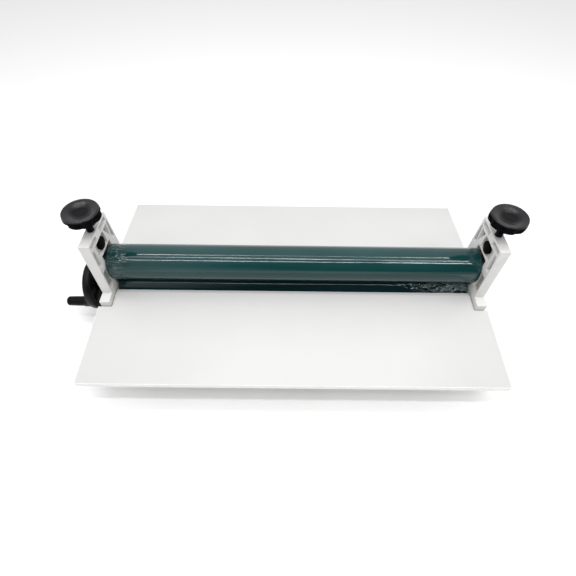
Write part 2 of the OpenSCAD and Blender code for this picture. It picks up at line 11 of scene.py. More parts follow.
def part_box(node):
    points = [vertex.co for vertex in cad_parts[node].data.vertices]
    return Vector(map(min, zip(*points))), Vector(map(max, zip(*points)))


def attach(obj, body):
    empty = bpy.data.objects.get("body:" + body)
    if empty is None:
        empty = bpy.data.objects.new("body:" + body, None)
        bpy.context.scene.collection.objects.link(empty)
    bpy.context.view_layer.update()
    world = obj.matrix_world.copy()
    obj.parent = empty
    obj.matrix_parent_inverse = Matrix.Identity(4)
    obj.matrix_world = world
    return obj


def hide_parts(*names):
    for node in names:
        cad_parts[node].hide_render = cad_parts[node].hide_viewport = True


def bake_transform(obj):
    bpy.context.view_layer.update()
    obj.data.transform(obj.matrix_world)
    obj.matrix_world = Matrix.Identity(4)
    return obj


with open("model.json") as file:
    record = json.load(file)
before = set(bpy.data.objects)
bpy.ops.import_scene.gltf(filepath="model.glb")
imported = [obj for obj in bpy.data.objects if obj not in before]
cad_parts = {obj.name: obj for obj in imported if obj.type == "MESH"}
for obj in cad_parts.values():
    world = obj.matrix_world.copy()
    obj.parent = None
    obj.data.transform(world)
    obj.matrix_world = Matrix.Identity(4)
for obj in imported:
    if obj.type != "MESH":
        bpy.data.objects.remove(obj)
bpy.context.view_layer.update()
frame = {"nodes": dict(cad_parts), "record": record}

MM = 0.001

# Radius at which a turned solid is closed on its own axis
CORE = 0.01 * MM

# Fall of the boards away from the rollers
BOARD_SLOPE = math.radians(3.2)

# Pitch of the pressure screws and radius of the neck that their retainers hold
SCREW_PITCH = 1.5 * MM
NECK_R = 3.4 * MM

KNOB_LOBES = 7

# ---------------------------------------------------------------- places taken from the frame

LOWER_LOW, LOWER_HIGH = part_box("lower_roller_rubber")
UPPER_LOW, UPPER_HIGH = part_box("upper_roller_rubber")
MID_X = (LOWER_LOW.x + LOWER_HIGH.x) / 2
LOWER_AXIS = Vector((MID_X, 0, (LOWER_LOW.z + LOWER_HIGH.z) / 2))
UPPER_AXIS = Vector((MID_X, 0, (UPPER_LOW.z + UPPER_HIGH.z) / 2))
ROLLER_R = (LOWER_HIGH.z - LOWER_LOW.z) / 2
FACE_HALF = (LOWER_HIGH.x - LOWER_LOW.x) / 2
NIP_Z = (LOWER_HIGH.z + UPPER_LOW.z) / 2

NODE_BODY = {node: body for body, nodes in frame["record"]["behaviour"]["bodies"].items()
             for node in nodes}


def radius_of(node):
    """Radius of a round CAD node that lies along X."""
    low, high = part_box(node)
    return (high.z - low.z) / 2


# ---------------------------------------------------------------- camera, floor and light

def make_camera():
    """Camera above and in front of the machine, looking down on the rollers."""
    pitch, yaw, roll = math.radians(53.613), math.radians(-0.298), math.radians(0.892)
    right = Vector((math.cos(yaw), math.sin(yaw), 0))
    ahead = Vector((-math.sin(yaw), math.cos(yaw), 0))
    forward = ahead * math.cos(pitch) - Vector((0, 0, math.sin(pitch)))
    up = Vector((0, 0, math.cos(pitch))) + ahead * math.sin(pitch)
    right, up = (right * math.cos(roll) + up * math.sin(roll),
                 up * math.cos(roll) - right * math.sin(roll))
    data = bpy.data.cameras.new("camera")
    data.sensor_width = 36.0
    data.lens = 23.71
    data.clip_start = 10 * MM
    camera = bpy.data.objects.new("camera", data)
    turn = Matrix((right, up, -forward)).transposed().to_4x4()
    place = Vector((MID_X - 0.0124, -0.4507, NIP_Z + 0.5677))
    camera.matrix_world = Matrix.Translation(place) @ turn
    bpy.context.scene.collection.objects.link(camera)
    bpy.context.scene.camera = camera


def make_floor():
    """Plain pale paper under the machine, just clear of its feet."""
    half = 6.0
    mesh = bpy.data.meshes.new("floor")
    mesh.from_pydata([(-half, -half, 0), (half, -half, 0), (half, half, 0), (-half, half, 0)],
                     [], [(0, 1, 2, 3)])
    floor = bpy.data.objects.new("floor", mesh)
    floor.location.z = -0.2 * MM
    bpy.context.scene.collection.objects.link(floor)
    mat, tree, bsdf = new_material("floor_paper", (0.97, 0.97, 0.965), 0.85)
    link_bump(tree, bsdf, noise_value(tree, 60, 3), 0.02, 1 * MM)
    mesh.materials.append(mat)


def make_strip(name, across, height, width, length, watts, shift=0.0):
    """A long soft light parallel to the rollers, aimed at the nip; sizes are in metres."""
    data = bpy.data.lights.new(name, "AREA")
    data.shape = "RECTANGLE"
    data.size = length
    data.size_y = width
    data.energy = watts
    lamp = bpy.data.objects.new(name, data)
    lamp.location = (MID_X + shift, across, height)
    aim = Vector((MID_X, 0, NIP_Z)) - lamp.location
    aim.x = 0
    lamp.rotation_euler = aim.to_track_quat("-Z", "Y").to_euler()
    bpy.context.scene.collection.objects.link(lamp)


def make_world():
    """Pale room whose light is held back by a dark card high up behind the operator.

    The card darkens light and reflections only; the backdrop itself stays plain and pale.
    """
    world = bpy.data.worlds.new("room")
    bpy.context.scene.world = world
    world.use_nodes = True
    tree = world.node_tree
    tree.nodes.clear()
    out = tree.nodes.new("ShaderNodeOutputWorld")
    back = tree.nodes.new("ShaderNodeBackground")
    where = tree.nodes.new("ShaderNodeTexCoord")
    card = Vector((0.25, -0.83, 0.50)).normalized()
    toward = tree.nodes.new("ShaderNodeVectorMath")
    toward.operation = "DOT_PRODUCT"
    toward.inputs[1].default_value = card
    tree.links.new(where.outputs["Generated"], toward.inputs[0])
    patch = remap(tree, toward.outputs["Value"], 0.76, 0.93, 0.0, 1.0)
    color = mix_color(tree, patch, (0.86, 0.86, 0.865), (0.02, 0.02, 0.022))
    rays = tree.nodes.new("ShaderNodeLightPath")
    seen = mix_color(tree, rays.outputs["Is Camera Ray"], color, (0.97, 0.97, 0.97))
    tree.links.new(seen, back.inputs["Color"])
    tree.links.new(back.outputs[0], out.inputs[0])


# ---------------------------------------------------------------- material helpers

def new_material(name, color, roughness, metallic=0.0):
    """A plain material, with its node tree and its shader."""
    mat = bpy.data.materials.new(name)
    mat.use_nodes = True
    tree = mat.node_tree
    bsdf = tree.nodes["Principled BSDF"]
    bsdf.inputs["Base Color"].default_value = (*color, 1)
    bsdf.inputs["Roughness"].default_value = roughness
    bsdf.inputs["Metallic"].default_value = metallic
    return mat, tree, bsdf


def object_axes(tree):
    """X, Y and Z of the shaded point, in the shared frame at rest."""
    where = tree.nodes.new("ShaderNodeTexCoord")
    split = tree.nodes.new("ShaderNodeSeparateXYZ")
    tree.links.new(where.outputs["Object"], split.inputs[0])
    return split.outputs["X"], split.outputs["Y"], split.outputs["Z"]


def position(tree, stretch, turn):
    """Place of the shaded point, stretched and turned to draw a pattern out."""
    where = tree.nodes.new("ShaderNodeTexCoord")
    scale = tree.nodes.new("ShaderNodeMapping")
    scale.inputs["Scale"].default_value = stretch
    scale.inputs["Rotation"].default_value = turn
    tree.links.new(where.outputs["Object"], scale.inputs["Vector"])
    return scale.outputs["Vector"]


def noise_value(tree, scale, detail=2.0, stretch=(1, 1, 1), rough=0.5, turn=(0, 0, 0)):
    """Cloudy noise between 0 and 1, mostly near 0.5."""
    node = tree.nodes.new("ShaderNodeTexNoise")
    node.inputs["Scale"].default_value = scale
    node.inputs["Detail"].default_value = detail
    node.inputs["Roughness"].default_value = rough
    tree.links.new(position(tree, stretch, turn), node.inputs["Vector"])
    return node.outputs["Fac"]


def remap(tree, value, low, high, new_low, new_high):
    """A value carried from low and high to new_low and new_high, and held between them."""
    node = tree.nodes.new("ShaderNodeMapRange")
    tree.links.new(value, node.inputs["Value"])
    for name, number in zip(("From Min", "From Max", "To Min", "To Max"),
                            (low, high, new_low, new_high)):
        node.inputs[name].default_value = number
    return node.outputs["Result"]


def mix_color(tree, factor, first, second):
    """The first colour where factor is 0 and the second where it is 1."""
    node = tree.nodes.new("ShaderNodeMix")
    node.data_type = "RGBA"
    tree.links.new(factor, node.inputs["Factor"])
    for name, value in (("A", first), ("B", second)):
        if isinstance(value, tuple):
            node.inputs[name].default_value = (*value, 1)
        else:
            tree.links.new(value, node.inputs[name])
    return node.outputs["Result"]


def math_node(tree, operation, *values):
    """Result of an operation on numbers, on other nodes' results or on both."""
    node = tree.nodes.new("ShaderNodeMath")
    node.operation = operation
    for socket, value in zip(node.inputs, values):
        if isinstance(value, (int, float)):
            socket.default_value = value
        else:
            tree.links.new(value, socket)
    return node.outputs[0]


def link_bump(tree, bsdf, height, strength, distance, socket="Normal"):
    """Makes a surface uneven by height, over a depth of distance in metres."""
    node = tree.nodes.new("ShaderNodeBump")
    node.inputs["Strength"].default_value = strength
    node.inputs["Distance"].default_value = distance
    tree.links.new(height, node.inputs["Height"])
    tree.links.new(node.outputs["Normal"], bsdf.inputs[socket])


# ---------------------------------------------------------------- materials

def pocket_painted_shade(tree):
    """1 on the rough floors of the pockets in the side frames, 0 everywhere else; it masks the shade
    painted in these recesses.
    """
    low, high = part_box("right_side_frame")
    shoulder, top = 48 * MM, 40 * MM
    wall = 2.6 * MM
    board_line = 92 * MM
    panel_low = 94 * MM
    inner = low.x - MID_X
    x, y, z = object_axes(tree)
    from_middle = math_node(tree, "ABSOLUTE", math_node(tree, "SUBTRACT", x, MID_X))
    deep = math_node(tree, "MULTIPLY",
                     remap(tree, from_middle, inner + 4.8 * MM, inner + 7.0 * MM, 0, 1),
                     math_node(tree, "LESS_THAN", from_middle, inner + 12 * MM))
    edge = remap(tree, z, board_line, high.z, shoulder - wall, top - wall)
    inside = math_node(tree, "LESS_THAN", math_node(tree, "ABSOLUTE", y), edge)
    below = math_node(tree, "LESS_THAN", z, high.z - wall)
    above = math_node(tree, "GREATER_THAN", z, panel_low)
    return math_node(tree, "MULTIPLY", math_node(tree, "MULTIPLY", deep, inside),
                     math_node(tree, "MULTIPLY", below, above))


def paint_material():
    """White powder coat over a sand casting; the pocket floors are painted dark grey with a sandy
    grain, as painted shade in the recesses.
    """
    white, shade = (0.67, 0.665, 0.65), (0.62, 0.615, 0.60)
    mat, tree, bsdf = new_material("frame_white_casting", white, 0.42)
    patch = remap(tree, noise_value(tree, 45, 4), 0.35, 0.7, 0, 1)
    face = mix_color(tree, patch, white, shade)
    grain = noise_value(tree, 900, 3, rough=0.65)
    # painted shade: the pocket floors are painted dark grey, speckled by the grain
    pocket_shade_grey = mix_color(tree, remap(tree, grain, 0.3, 0.7, 0, 1), (0.30, 0.295, 0.28),
                     (0.47, 0.46, 0.44))
    tree.links.new(mix_color(tree, pocket_painted_shade(tree), face, pocket_shade_grey), bsdf.inputs["Base Color"])
    tree.links.new(remap(tree, grain, 0.3, 0.7, 0.34, 0.52), bsdf.inputs["Roughness"])
    bsdf.inputs["Coat Weight"].default_value = 0.25
    bsdf.inputs["Coat Roughness"].default_value = 0.2
    link_bump(tree, bsdf, grain, 0.55, 0.35 * MM)
    return mat


def laminate_material():
    """Melamine facing with a very fine, even grain."""
    white, cloud = (0.61, 0.61, 0.603), (0.595, 0.595, 0.588)
    mat, tree, bsdf = new_material("board_white_laminate", white, 0.38)
    cloudy = remap(tree, noise_value(tree, 9, 3), 0.35, 0.65, 0, 1)
    tree.links.new(mix_color(tree, cloudy, white, cloud), bsdf.inputs["Base Color"])
    grain = noise_value(tree, 1500, 2)
    tree.links.new(remap(tree, grain, 0.3, 0.7, 0.33, 0.43), bsdf.inputs["Roughness"])
    link_bump(tree, bsdf, grain, 0.18, 0.1 * MM)
    return mat


def band_painted_light_material():
    """Plastic edge band with faint lengthwise extrusion lines, painted far paler than the laminate:
    painted light on the board's front face and a painted highlight along its top edge.
    """
    # painted light: the band is painted much paler than the laminate, to lighten the board's front
    # face and draw a highlight on its top edge
    white, warm = (0.87, 0.865, 0.85), (0.83, 0.825, 0.81)
    mat, tree, bsdf = new_material("board_edge_band", white, 0.45)
    lines = noise_value(tree, 700, 2, stretch=(0.02, 0.02, 1))
    tree.links.new(mix_color(tree, lines, white, warm), bsdf.inputs["Base Color"])
    link_bump(tree, bsdf, lines, 0.2, 0.1 * MM)
    return mat


def wrap_folds(tree, start, full):
    """Crossing crests of loose wrap: 0 before start, all there from full on, along X."""
    along = object_axes(tree)[0]
    crests = []
    for scale, turn in ((70, (0, 0.7, 0)), (95, (0, -0.55, 0.2))):
        value = noise_value(tree, scale, 2, (0.45, 1.1, 1.1), 0.5, turn)
        away = math_node(tree, "ABSOLUTE", math_node(tree, "SUBTRACT", value, 0.5))
        crests.append(remap(tree, away, 0.0, 0.10, 1.0, 0.0))
    crest = math_node(tree, "MAXIMUM", *crests)
    return math_node(tree, "MULTIPLY", crest, remap(tree, along, start, full, 0, 1))


def rubber_material(name, deep, pale, start, full, glint_amount):
    """Dark teal rubber seen through a tight, glossy clear wrap that is loose past start; the crests
    of its loose folds are painted pale, as painted glints.
    """
    mat, tree, bsdf = new_material(name, deep, 0.55)
    glint_pale = (0.17, 0.22, 0.23)
    cloudy = remap(tree, noise_value(tree, 14, 4, stretch=(0.3, 1, 1)), 0.35, 0.7, 0, 1)
    folds = wrap_folds(tree, start, full)
    # painted highlight: the crests of the loose folds are painted pale, as glints of the crumpled
    # wrap
    painted_glints = remap(tree, folds, 0.5, 1.0, 0.0, glint_amount)
    rubber = mix_color(tree, cloudy, deep, pale)
    tree.links.new(mix_color(tree, painted_glints, rubber, glint_pale), bsdf.inputs["Base Color"])
    bsdf.inputs["Specular IOR Level"].default_value = 0.03
    bsdf.inputs["Coat Weight"].default_value = 1.0
    bsdf.inputs["Coat Roughness"].default_value = 0.035
    bsdf.inputs["Coat IOR"].default_value = 1.5
    ripples = noise_value(tree, 260, 3, stretch=(0.04, 1, 1))
    uneven = math_node(tree, "ADD", math_node(tree, "MULTIPLY", ripples, 0.05), folds)
    link_bump(tree, bsdf, uneven, 0.8, 1.1 * MM, "Coat Normal")
    link_bump(tree, bsdf, noise_value(tree, 2500, 2), 0.2, 0.05 * MM)
    return mat


def plastic_material(name, color, low, high, bump, shine=0.2):
    """Moulded plastic with a fine grain and soft wear; its roughness runs from low to high."""
    mat, tree, bsdf = new_material(name, color, (low + high) / 2)
    lighter = tuple(c * 1.8 for c in color)
    bsdf.inputs["Specular IOR Level"].default_value = shine
    wear = remap(tree, noise_value(tree, 120, 4), 0.5, 0.75, 0, 1)
    tree.links.new(mix_color(tree, wear, color, lighter), bsdf.inputs["Base Color"])
    grain = noise_value(tree, 2200, 2)
    tree.links.new(remap(tree, noise_value(tree, 80, 3), 0.3, 0.7, low, high),
                   bsdf.inputs["Roughness"])
    link_bump(tree, bsdf, grain, bump, 0.12 * MM)
    return mat


def knob_material():
    """Moulded knob with a polished top; its skirt loses nearly all reflection and the bottom of its
    dish reflects less, as painted shade.
    """
    mat = plastic_material("knob_black_plastic", (0.004, 0.004, 0.005), 0.22, 0.34, 0.12)
    tree = mat.node_tree
    bsdf = tree.nodes["Principled BSDF"]
    low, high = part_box("right_knob")
    radius = (high.y - low.y) / 2
    rod_low, rod_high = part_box("right_pressure_screw")
    reach = (rod_low.x + rod_high.x) / 2 - MID_X
    x, y, z = object_axes(tree)
    from_middle = math_node(tree, "ABSOLUTE", math_node(tree, "SUBTRACT", x, MID_X))
    off_axis = math_node(tree, "SUBTRACT", from_middle, reach)
    across = math_node(tree, "SQRT", math_node(
        tree, "ADD", math_node(tree, "MULTIPLY", off_axis, off_axis),
        math_node(tree, "MULTIPLY", y, y)))
    # painted shade: the skirt below the rim loses nearly all reflection and the dish bottom reflects
    # less than the rim
    outside = remap(tree, across, radius - 8 * MM, radius - 7 * MM, 0, 1)
    below = remap(tree, z, high.z - 2.4 * MM, high.z - 1.4 * MM, 1, 0)
    dull = math_node(tree, "MULTIPLY", outside, below)
    shine = remap(tree, z, high.z - 5.5 * MM, high.z - 2.0 * MM, 0.10, 0.45)
    tree.links.new(math_node(tree, "MULTIPLY", shine, remap(tree, dull, 0, 1, 1.0, 0.03)),
                   bsdf.inputs["Specular IOR Level"])
    return mat


def metal_material(name, color, roughness, stretch=(1, 1, 1)):
    """Machined or plated metal; stretch draws the machining marks out along an axis."""
    mat, tree, bsdf = new_material(name, color, roughness, 1.0)
    marks = noise_value(tree, 900, 3, stretch=stretch)
    dull = tuple(c * 0.78 for c in color)
    tree.links.new(mix_color(tree, remap(tree, marks, 0.35, 0.7, 0, 1), color, dull),
                   bsdf.inputs["Base Color"])
    tree.links.new(remap(tree, marks, 0.3, 0.7, roughness * 0.8, roughness * 1.3),
                   bsdf.inputs["Roughness"])
    link_bump(tree, bsdf, marks, 0.2, 0.1 * MM)
    return mat


def powder_material():
    """Dark powder coat with a fine orange peel."""
    mat, tree, bsdf = new_material("support_dark_powder_coat", (0.02, 0.02, 0.021), 0.5)
    grain = noise_value(tree, 700, 3)
    tree.links.new(mix_color(tree, grain, (0.018, 0.018, 0.019), (0.03, 0.03, 0.031)),
                   bsdf.inputs["Base Color"])
    link_bump(tree, bsdf, grain, 0.4, 0.3 * MM)
    return mat


def bearing_material(name, axis, groove, edge):
    """Steel rings with a dark seal between the radii groove and edge about a shaft along X."""
    steel, seal_rubber = (0.55, 0.55, 0.56), (0.03, 0.03, 0.03)
    mat, tree, bsdf = new_material(name, steel, 0.3)
    where = tree.nodes.new("ShaderNodeTexCoord")
    offset = tree.nodes.new("ShaderNodeVectorMath")
    offset.operation = "SUBTRACT"
    offset.inputs[1].default_value = axis
    flat = tree.nodes.new("ShaderNodeVectorMath")
    flat.operation = "MULTIPLY"
    flat.inputs[1].default_value = (0, 1, 1)
    size = tree.nodes.new("ShaderNodeVectorMath")
    size.operation = "LENGTH"
    tree.links.new(where.outputs["Object"], offset.inputs[0])
    tree.links.new(offset.outputs["Vector"], flat.inputs[0])
    tree.links.new(flat.outputs["Vector"], size.inputs[0])
    radius = size.outputs["Value"]
    seal = math_node(tree, "MULTIPLY", math_node(tree, "GREATER_THAN", radius, groove),
                     math_node(tree, "LESS_THAN", radius, edge))
    tree.links.new(mix_color(tree, seal, steel, seal_rubber), bsdf.inputs["Base Color"])
    tree.links.new(math_node(tree, "SUBTRACT", 1.0, seal), bsdf.inputs["Metallic"])
    link_bump(tree, bsdf, noise_value(tree, 1200, 2), 0.1, 0.05 * MM)
    return mat


MATERIALS = {}


# ---------------------------------------------------------------- mesh helpers

def link_object(name, mesh, key, node):
    """Puts a finished mesh in the scene in place of a CAD node."""
    obj = bpy.data.objects.new(name, mesh)
    bpy.context.scene.collection.objects.link(obj)
    mesh.materials.clear()
    mesh.materials.append(MATERIALS[key])
    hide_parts(node)
    return obj


def add_object(name, mesh, key, node):
    """Puts a finished mesh in the scene in place of a CAD node, on that node's body."""
    obj = link_object(name, mesh, key, node)
    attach(obj, NODE_BODY[node])
    return obj


def finish_mesh(mesh, sharp):
    """Shades a mesh smooth, but for edges that turn by more than sharp degrees."""
    for face in mesh.polygons:
        face.use_smooth = True
    mesh.set_sharp_from_angle(angle=math.radians(sharp))


def softened(node, width, segments):
    """A copy of a CAD node's mesh with its hard edges rounded over."""
    mesh = frame["nodes"][node].data.copy()
    mesh.name = node + "_soft"
    bm = bmesh.new()
    bm.from_mesh(mesh)
    bmesh.ops.remove_doubles(bm, verts=bm.verts, dist=1e-6)
    bmesh.ops.dissolve_limit(bm, angle_limit=math.radians(0.6), verts=bm.verts, edges=bm.edges)
    edges = [e for e in bm.edges if len(e.link_faces) == 2
             and e.calc_face_angle(0) > math.radians(30)]
    bmesh.ops.bevel(bm, geom=edges, offset=width, segments=segments, profile=0.5,
                    affect="EDGES", clamp_overlap=True)
    bmesh.ops.triangulate(bm, faces=[f for f in bm.faces if len(f.verts) > 4])
    bmesh.ops.recalc_face_normals(bm, faces=bm.faces)
    bm.to_mesh(mesh)
    bm.free()
    finish_mesh(mesh, 40)
    return mesh


def closed_mesh(name, points, faces):
    """A mesh whose faces all look outwards."""
    mesh = bpy.data.meshes.new(name)
    mesh.from_pydata(points, [], faces)
    bm = bmesh.new()
    bm.from_mesh(mesh)
    bmesh.ops.recalc_face_normals(bm, faces=bm.faces)
    bm.to_mesh(mesh)
    bm.free()
    return mesh


def wall_faces(total, count, turns):
    """Four-sided faces between rings of count points, over so many turns from ring to ring."""
    return [(i * count + j, i * count + (j + 1) % count,
             ((i + 1) % total) * count + (j + 1) % count, ((i + 1) % total) * count + j)
            for i in range(turns) for j in range(count)]


def ring_mesh(name, rings):
    """A closed solid from rings of points, with a flat face on the first and the last."""
    count = len(rings[0])
    points = [tuple(p) for ring in rings for p in ring]
    faces = wall_faces(len(rings), count, len(rings) - 1)
    last = (len(rings) - 1) * count
    faces.append(tuple(range(count - 1, -1, -1)))
    faces.append(tuple(last + j for j in range(count)))
    return closed_mesh(name, points, faces)


def tube_mesh(name, rings):
    """Rings joined one after another and the last joined to the first."""
    points = [tuple(p) for ring in rings for p in ring]
    return closed_mesh(name, points, wall_faces(len(rings), len(rings[0]), len(rings)))


def circle(place, radius, height, steps):
    """A ring of points about the Z axis of place."""
    return [place @ Vector((radius * math.cos(2 * math.pi * j / steps),
                            radius * math.sin(2 * math.pi * j / steps), height))
            for j in range(steps)]


def arc(center, radius, start, end, steps):
    """Points along a circular arc, angles in degrees."""
    return [(center[0] + radius * math.cos(math.radians(start + (end - start) * i / steps)),
             center[1] + radius * math.sin(math.radians(start + (end - start) * i / steps)))
            for i in range(steps + 1)]


# ---------------------------------------------------------------- CAD parts with rounded edges

def refine(node, key, width, segments=2):
    """Shows a CAD node with its edges rounded over and its own material."""
    mesh = softened(node, width, segments)
    return add_object(node + "_finished", mesh, key, node)


# ---------------------------------------------------------------- rollers

def ridge_height(turn, along, seed, count, width, height):
    """Long shallow creases in the wrap: turn in radians, along from -1 to 1."""
    rng = random.Random(seed)
    total = np.zeros(np.broadcast(turn, along).shape)
    for i in range(count):
        center = 2 * math.pi * (i + rng.uniform(-0.32, 0.32)) / count
        sway = rng.uniform(0.01, 0.035)
        wave = rng.uniform(2.0, 5.0)
        phase = rng.uniform(0, 6.28)
        line = center + sway * np.sin(wave * along + phase)
        spread = width * rng.uniform(0.7, 1.5)
        away = (turn - line + math.pi) % (2 * math.pi) - math.pi
        strength = 0.55 + 0.45 * np.sin(rng.uniform(1.5, 6.0) * along + rng.uniform(0, 6.28))
        total += rng.uniform(0.5, 1.0) * strength * np.exp(-(away / spread) ** 2)
    return height * total


def crumple_height(turn, along, seed, count, height):
    """Sharp-crested folds that run across each other."""
    rng = random.Random(seed)
    total = np.zeros(np.broadcast(turn, along).shape)
    for _ in range(count):
        around = rng.choice([-1, 1]) * rng.randint(6, 26)
        down = rng.uniform(60, 210)
        bend = rng.uniform(0.8, 2.2) * np.sin(rng.randint(2, 6) * turn + rng.uniform(20, 60) * along)
        wave = np.cos((around * turn + down * along + bend + rng.uniform(0, 6.28)) / 2)
        patchy = 0.6 + 0.4 * np.sin(rng.randint(3, 7) * turn - rng.uniform(15, 45) * along)
        total = np.maximum(total, rng.uniform(0.6, 1.0) * patchy * (1 - np.abs(wave)) ** 1.6)
    return height * total


def smooth_step(value, low, high):
    """0 up to low, 1 from high on and a soft rise between them."""
    t = np.clip((value - low) / (high - low), 0, 1)
    return t * t * (3 - 2 * t)


def wrapped_roller(name, node, key, axis, seed, crumpled_side, start, full):
    """Rubber sleeve in its tight wrap: a fine grid whose radius follows the creases.

    The folds of the crumpled side begin at start and are all there at full, shares of the
    way from the middle of the roller to its end.
    """
    around, lengthways = 240, 320
    crowding = 1.9
    share = np.linspace(-1, 1, lengthways)
    along = np.sign(share) * (1 - (1 - np.abs(share)) ** crowding)
    turn = np.linspace(0, 2 * math.pi, around, endpoint=False)
    grid_turn, grid_along = np.meshgrid(turn, along)
    wrap_t = 0.4 * MM
    rounding = 1.2 * MM
    ridges = ridge_height(grid_turn, grid_along, seed, 15, 0.055, 0.22 * MM)
    ridges += ridge_height(grid_turn, grid_along, seed + 1, 26, 0.03, 0.10 * MM)
    ends = smooth_step(crumpled_side * grid_along, start, full)
    ends += 0.35 * smooth_step(-crumpled_side * grid_along, 0.88, 0.98)
    folds = crumple_height(grid_turn, grid_along, seed + 2, 5, 0.42 * MM)
    height = np.clip(ridges * (1 - 0.6 * ends) + folds * ends, 0, wrap_t * 0.98)
    edge = smooth_step(1 - np.abs(grid_along), 0.0, 0.006)
    radius = ROLLER_R - wrap_t + height - (1 - edge) * rounding
    x = axis.x + grid_along * FACE_HALF
    y = axis.y + radius * np.cos(grid_turn)
    z = axis.z + radius * np.sin(grid_turn)
    rings = list(np.stack([x, y, z], axis=-1))
    bore = radius_of("lower_roller_tube") + 0.05 * MM
    for side_x in (axis.x + FACE_HALF, axis.x - FACE_HALF):
        rings.append([(side_x, axis.y + bore * math.cos(a), axis.z + bore * math.sin(a))
                      for a in turn])
    mesh = tube_mesh(name, rings)
    finish_mesh(mesh, 55)
    return add_object(name, mesh, key, node)


# ---------------------------------------------------------------- turned and threaded parts

def revolved(name, profile, place, steps, shape=None):
    """Closed solid turned about the Z axis of place; profile runs as (radius, height) pairs.

    shape, when given, changes the radius for each point's angle and height.
    """
    if shape is None:
        return ring_mesh(name, [circle(place, r, h, steps) for r, h in profile])
    rings = []
    for radius, height in profile:
        ring = []
        for i in range(steps):
            angle = 2 * math.pi * i / steps
            r = shape(radius, height, angle)
            ring.append(place @ Vector((r * math.cos(angle), r * math.sin(angle), height)))
        rings.append(ring)
    return ring_mesh(name, rings)


def joined(name, meshes):
    """One mesh from several closed ones."""
    bm = bmesh.new()
    for mesh in meshes:
        bm.from_mesh(mesh)
        bpy.data.meshes.remove(mesh)
    mesh = bpy.data.meshes.new(name)
    bm.to_mesh(mesh)
    bm.free()
    finish_mesh(mesh, 38)
    return mesh


def facing(center, direction):
    """A place whose Z axis points along direction."""
    turn = Vector(direction).to_track_quat("Z", "Y").to_matrix().to_4x4()
    return Matrix.Translation(Vector(center)) @ turn


def threaded(name, place, start, end, radius, pitch, depth):
    """Rod with a helical V thread from start to end along the Z axis of place."""
    steps = 36
    per_turn = 8
    core = 0.1 * MM
    rows = int((end - start) / pitch * per_turn)
    rings = [circle(place, core, start, steps)]
    for i in range(rows + 1):
        height = start + (end - start) * i / rows
        ring = []
        for j in range(steps):
            angle = 2 * math.pi * j / steps
            phase = (height / pitch - j / steps) % 1.0
            cut = depth * min(1.0, max(0.0, 2.6 * abs(phase - 0.5) - 0.15))
            runout = min(1.0, min(height - start, end - height) / pitch)
            r = radius - depth * (1 - runout) - cut * runout
            ring.append(place @ Vector((r * math.cos(angle), r * math.sin(angle), height)))
        rings.append(ring)
    rings.append(circle(place, core, end, steps))
    return ring_mesh(name, rings)


def hexagon(radius, height):
    """Profile and shape of a hexagon head with its corners turned off at the top.

    Points of the profile at full lie on the hexagon; the others are round, cut off by it.
    """
    flat = radius * math.cos(math.pi / 6)
    full = 2 * radius

    def across(angle):
        return flat / math.cos((angle + math.pi / 6) % (math.pi / 3) - math.pi / 6)

    def shape(r, _, angle):
        return across(angle) if r == full else min(r, across(angle))

    profile = [(CORE, 0), (full, 0), (full, height * 0.83), (flat * 1.08, height * 0.88),
               (flat * 0.96, height), (CORE, height)]
    return profile, shape


def pan_head(name, place, radius, height):
    """Domed screw head with a cross recess pressed into it."""
    steps = 48
    rows = 12
    rings = [circle(place, 0.001 * radius, 0, steps), circle(place, radius, 0, steps)]
    for i in range(rows + 1):
        share = 1 - i / rows
        reach = radius * math.sin(share * math.pi / 2) if i < rows else radius * 0.004
        top = height * (0.45 + 0.55 * math.cos(share * math.pi / 2))
        ring = []
        for j in range(steps):
            angle = 2 * math.pi * j / steps
            arm = abs(math.sin(2 * angle)) * reach
            inside = max(0.0, 1 - (arm / (0.17 * radius)) ** 4) if reach < 0.62 * radius else 0.0
            taper = max(0.0, 1 - reach / (0.66 * radius))
            sink = height * 0.75 * inside * min(1.0, 3 * taper)
            ring.append(place @ Vector((reach * math.cos(angle), reach * math.sin(angle),
                                        top - sink)))
        rings.append(ring)
    return ring_mesh(name, rings)


# ---------------------------------------------------------------- knobs

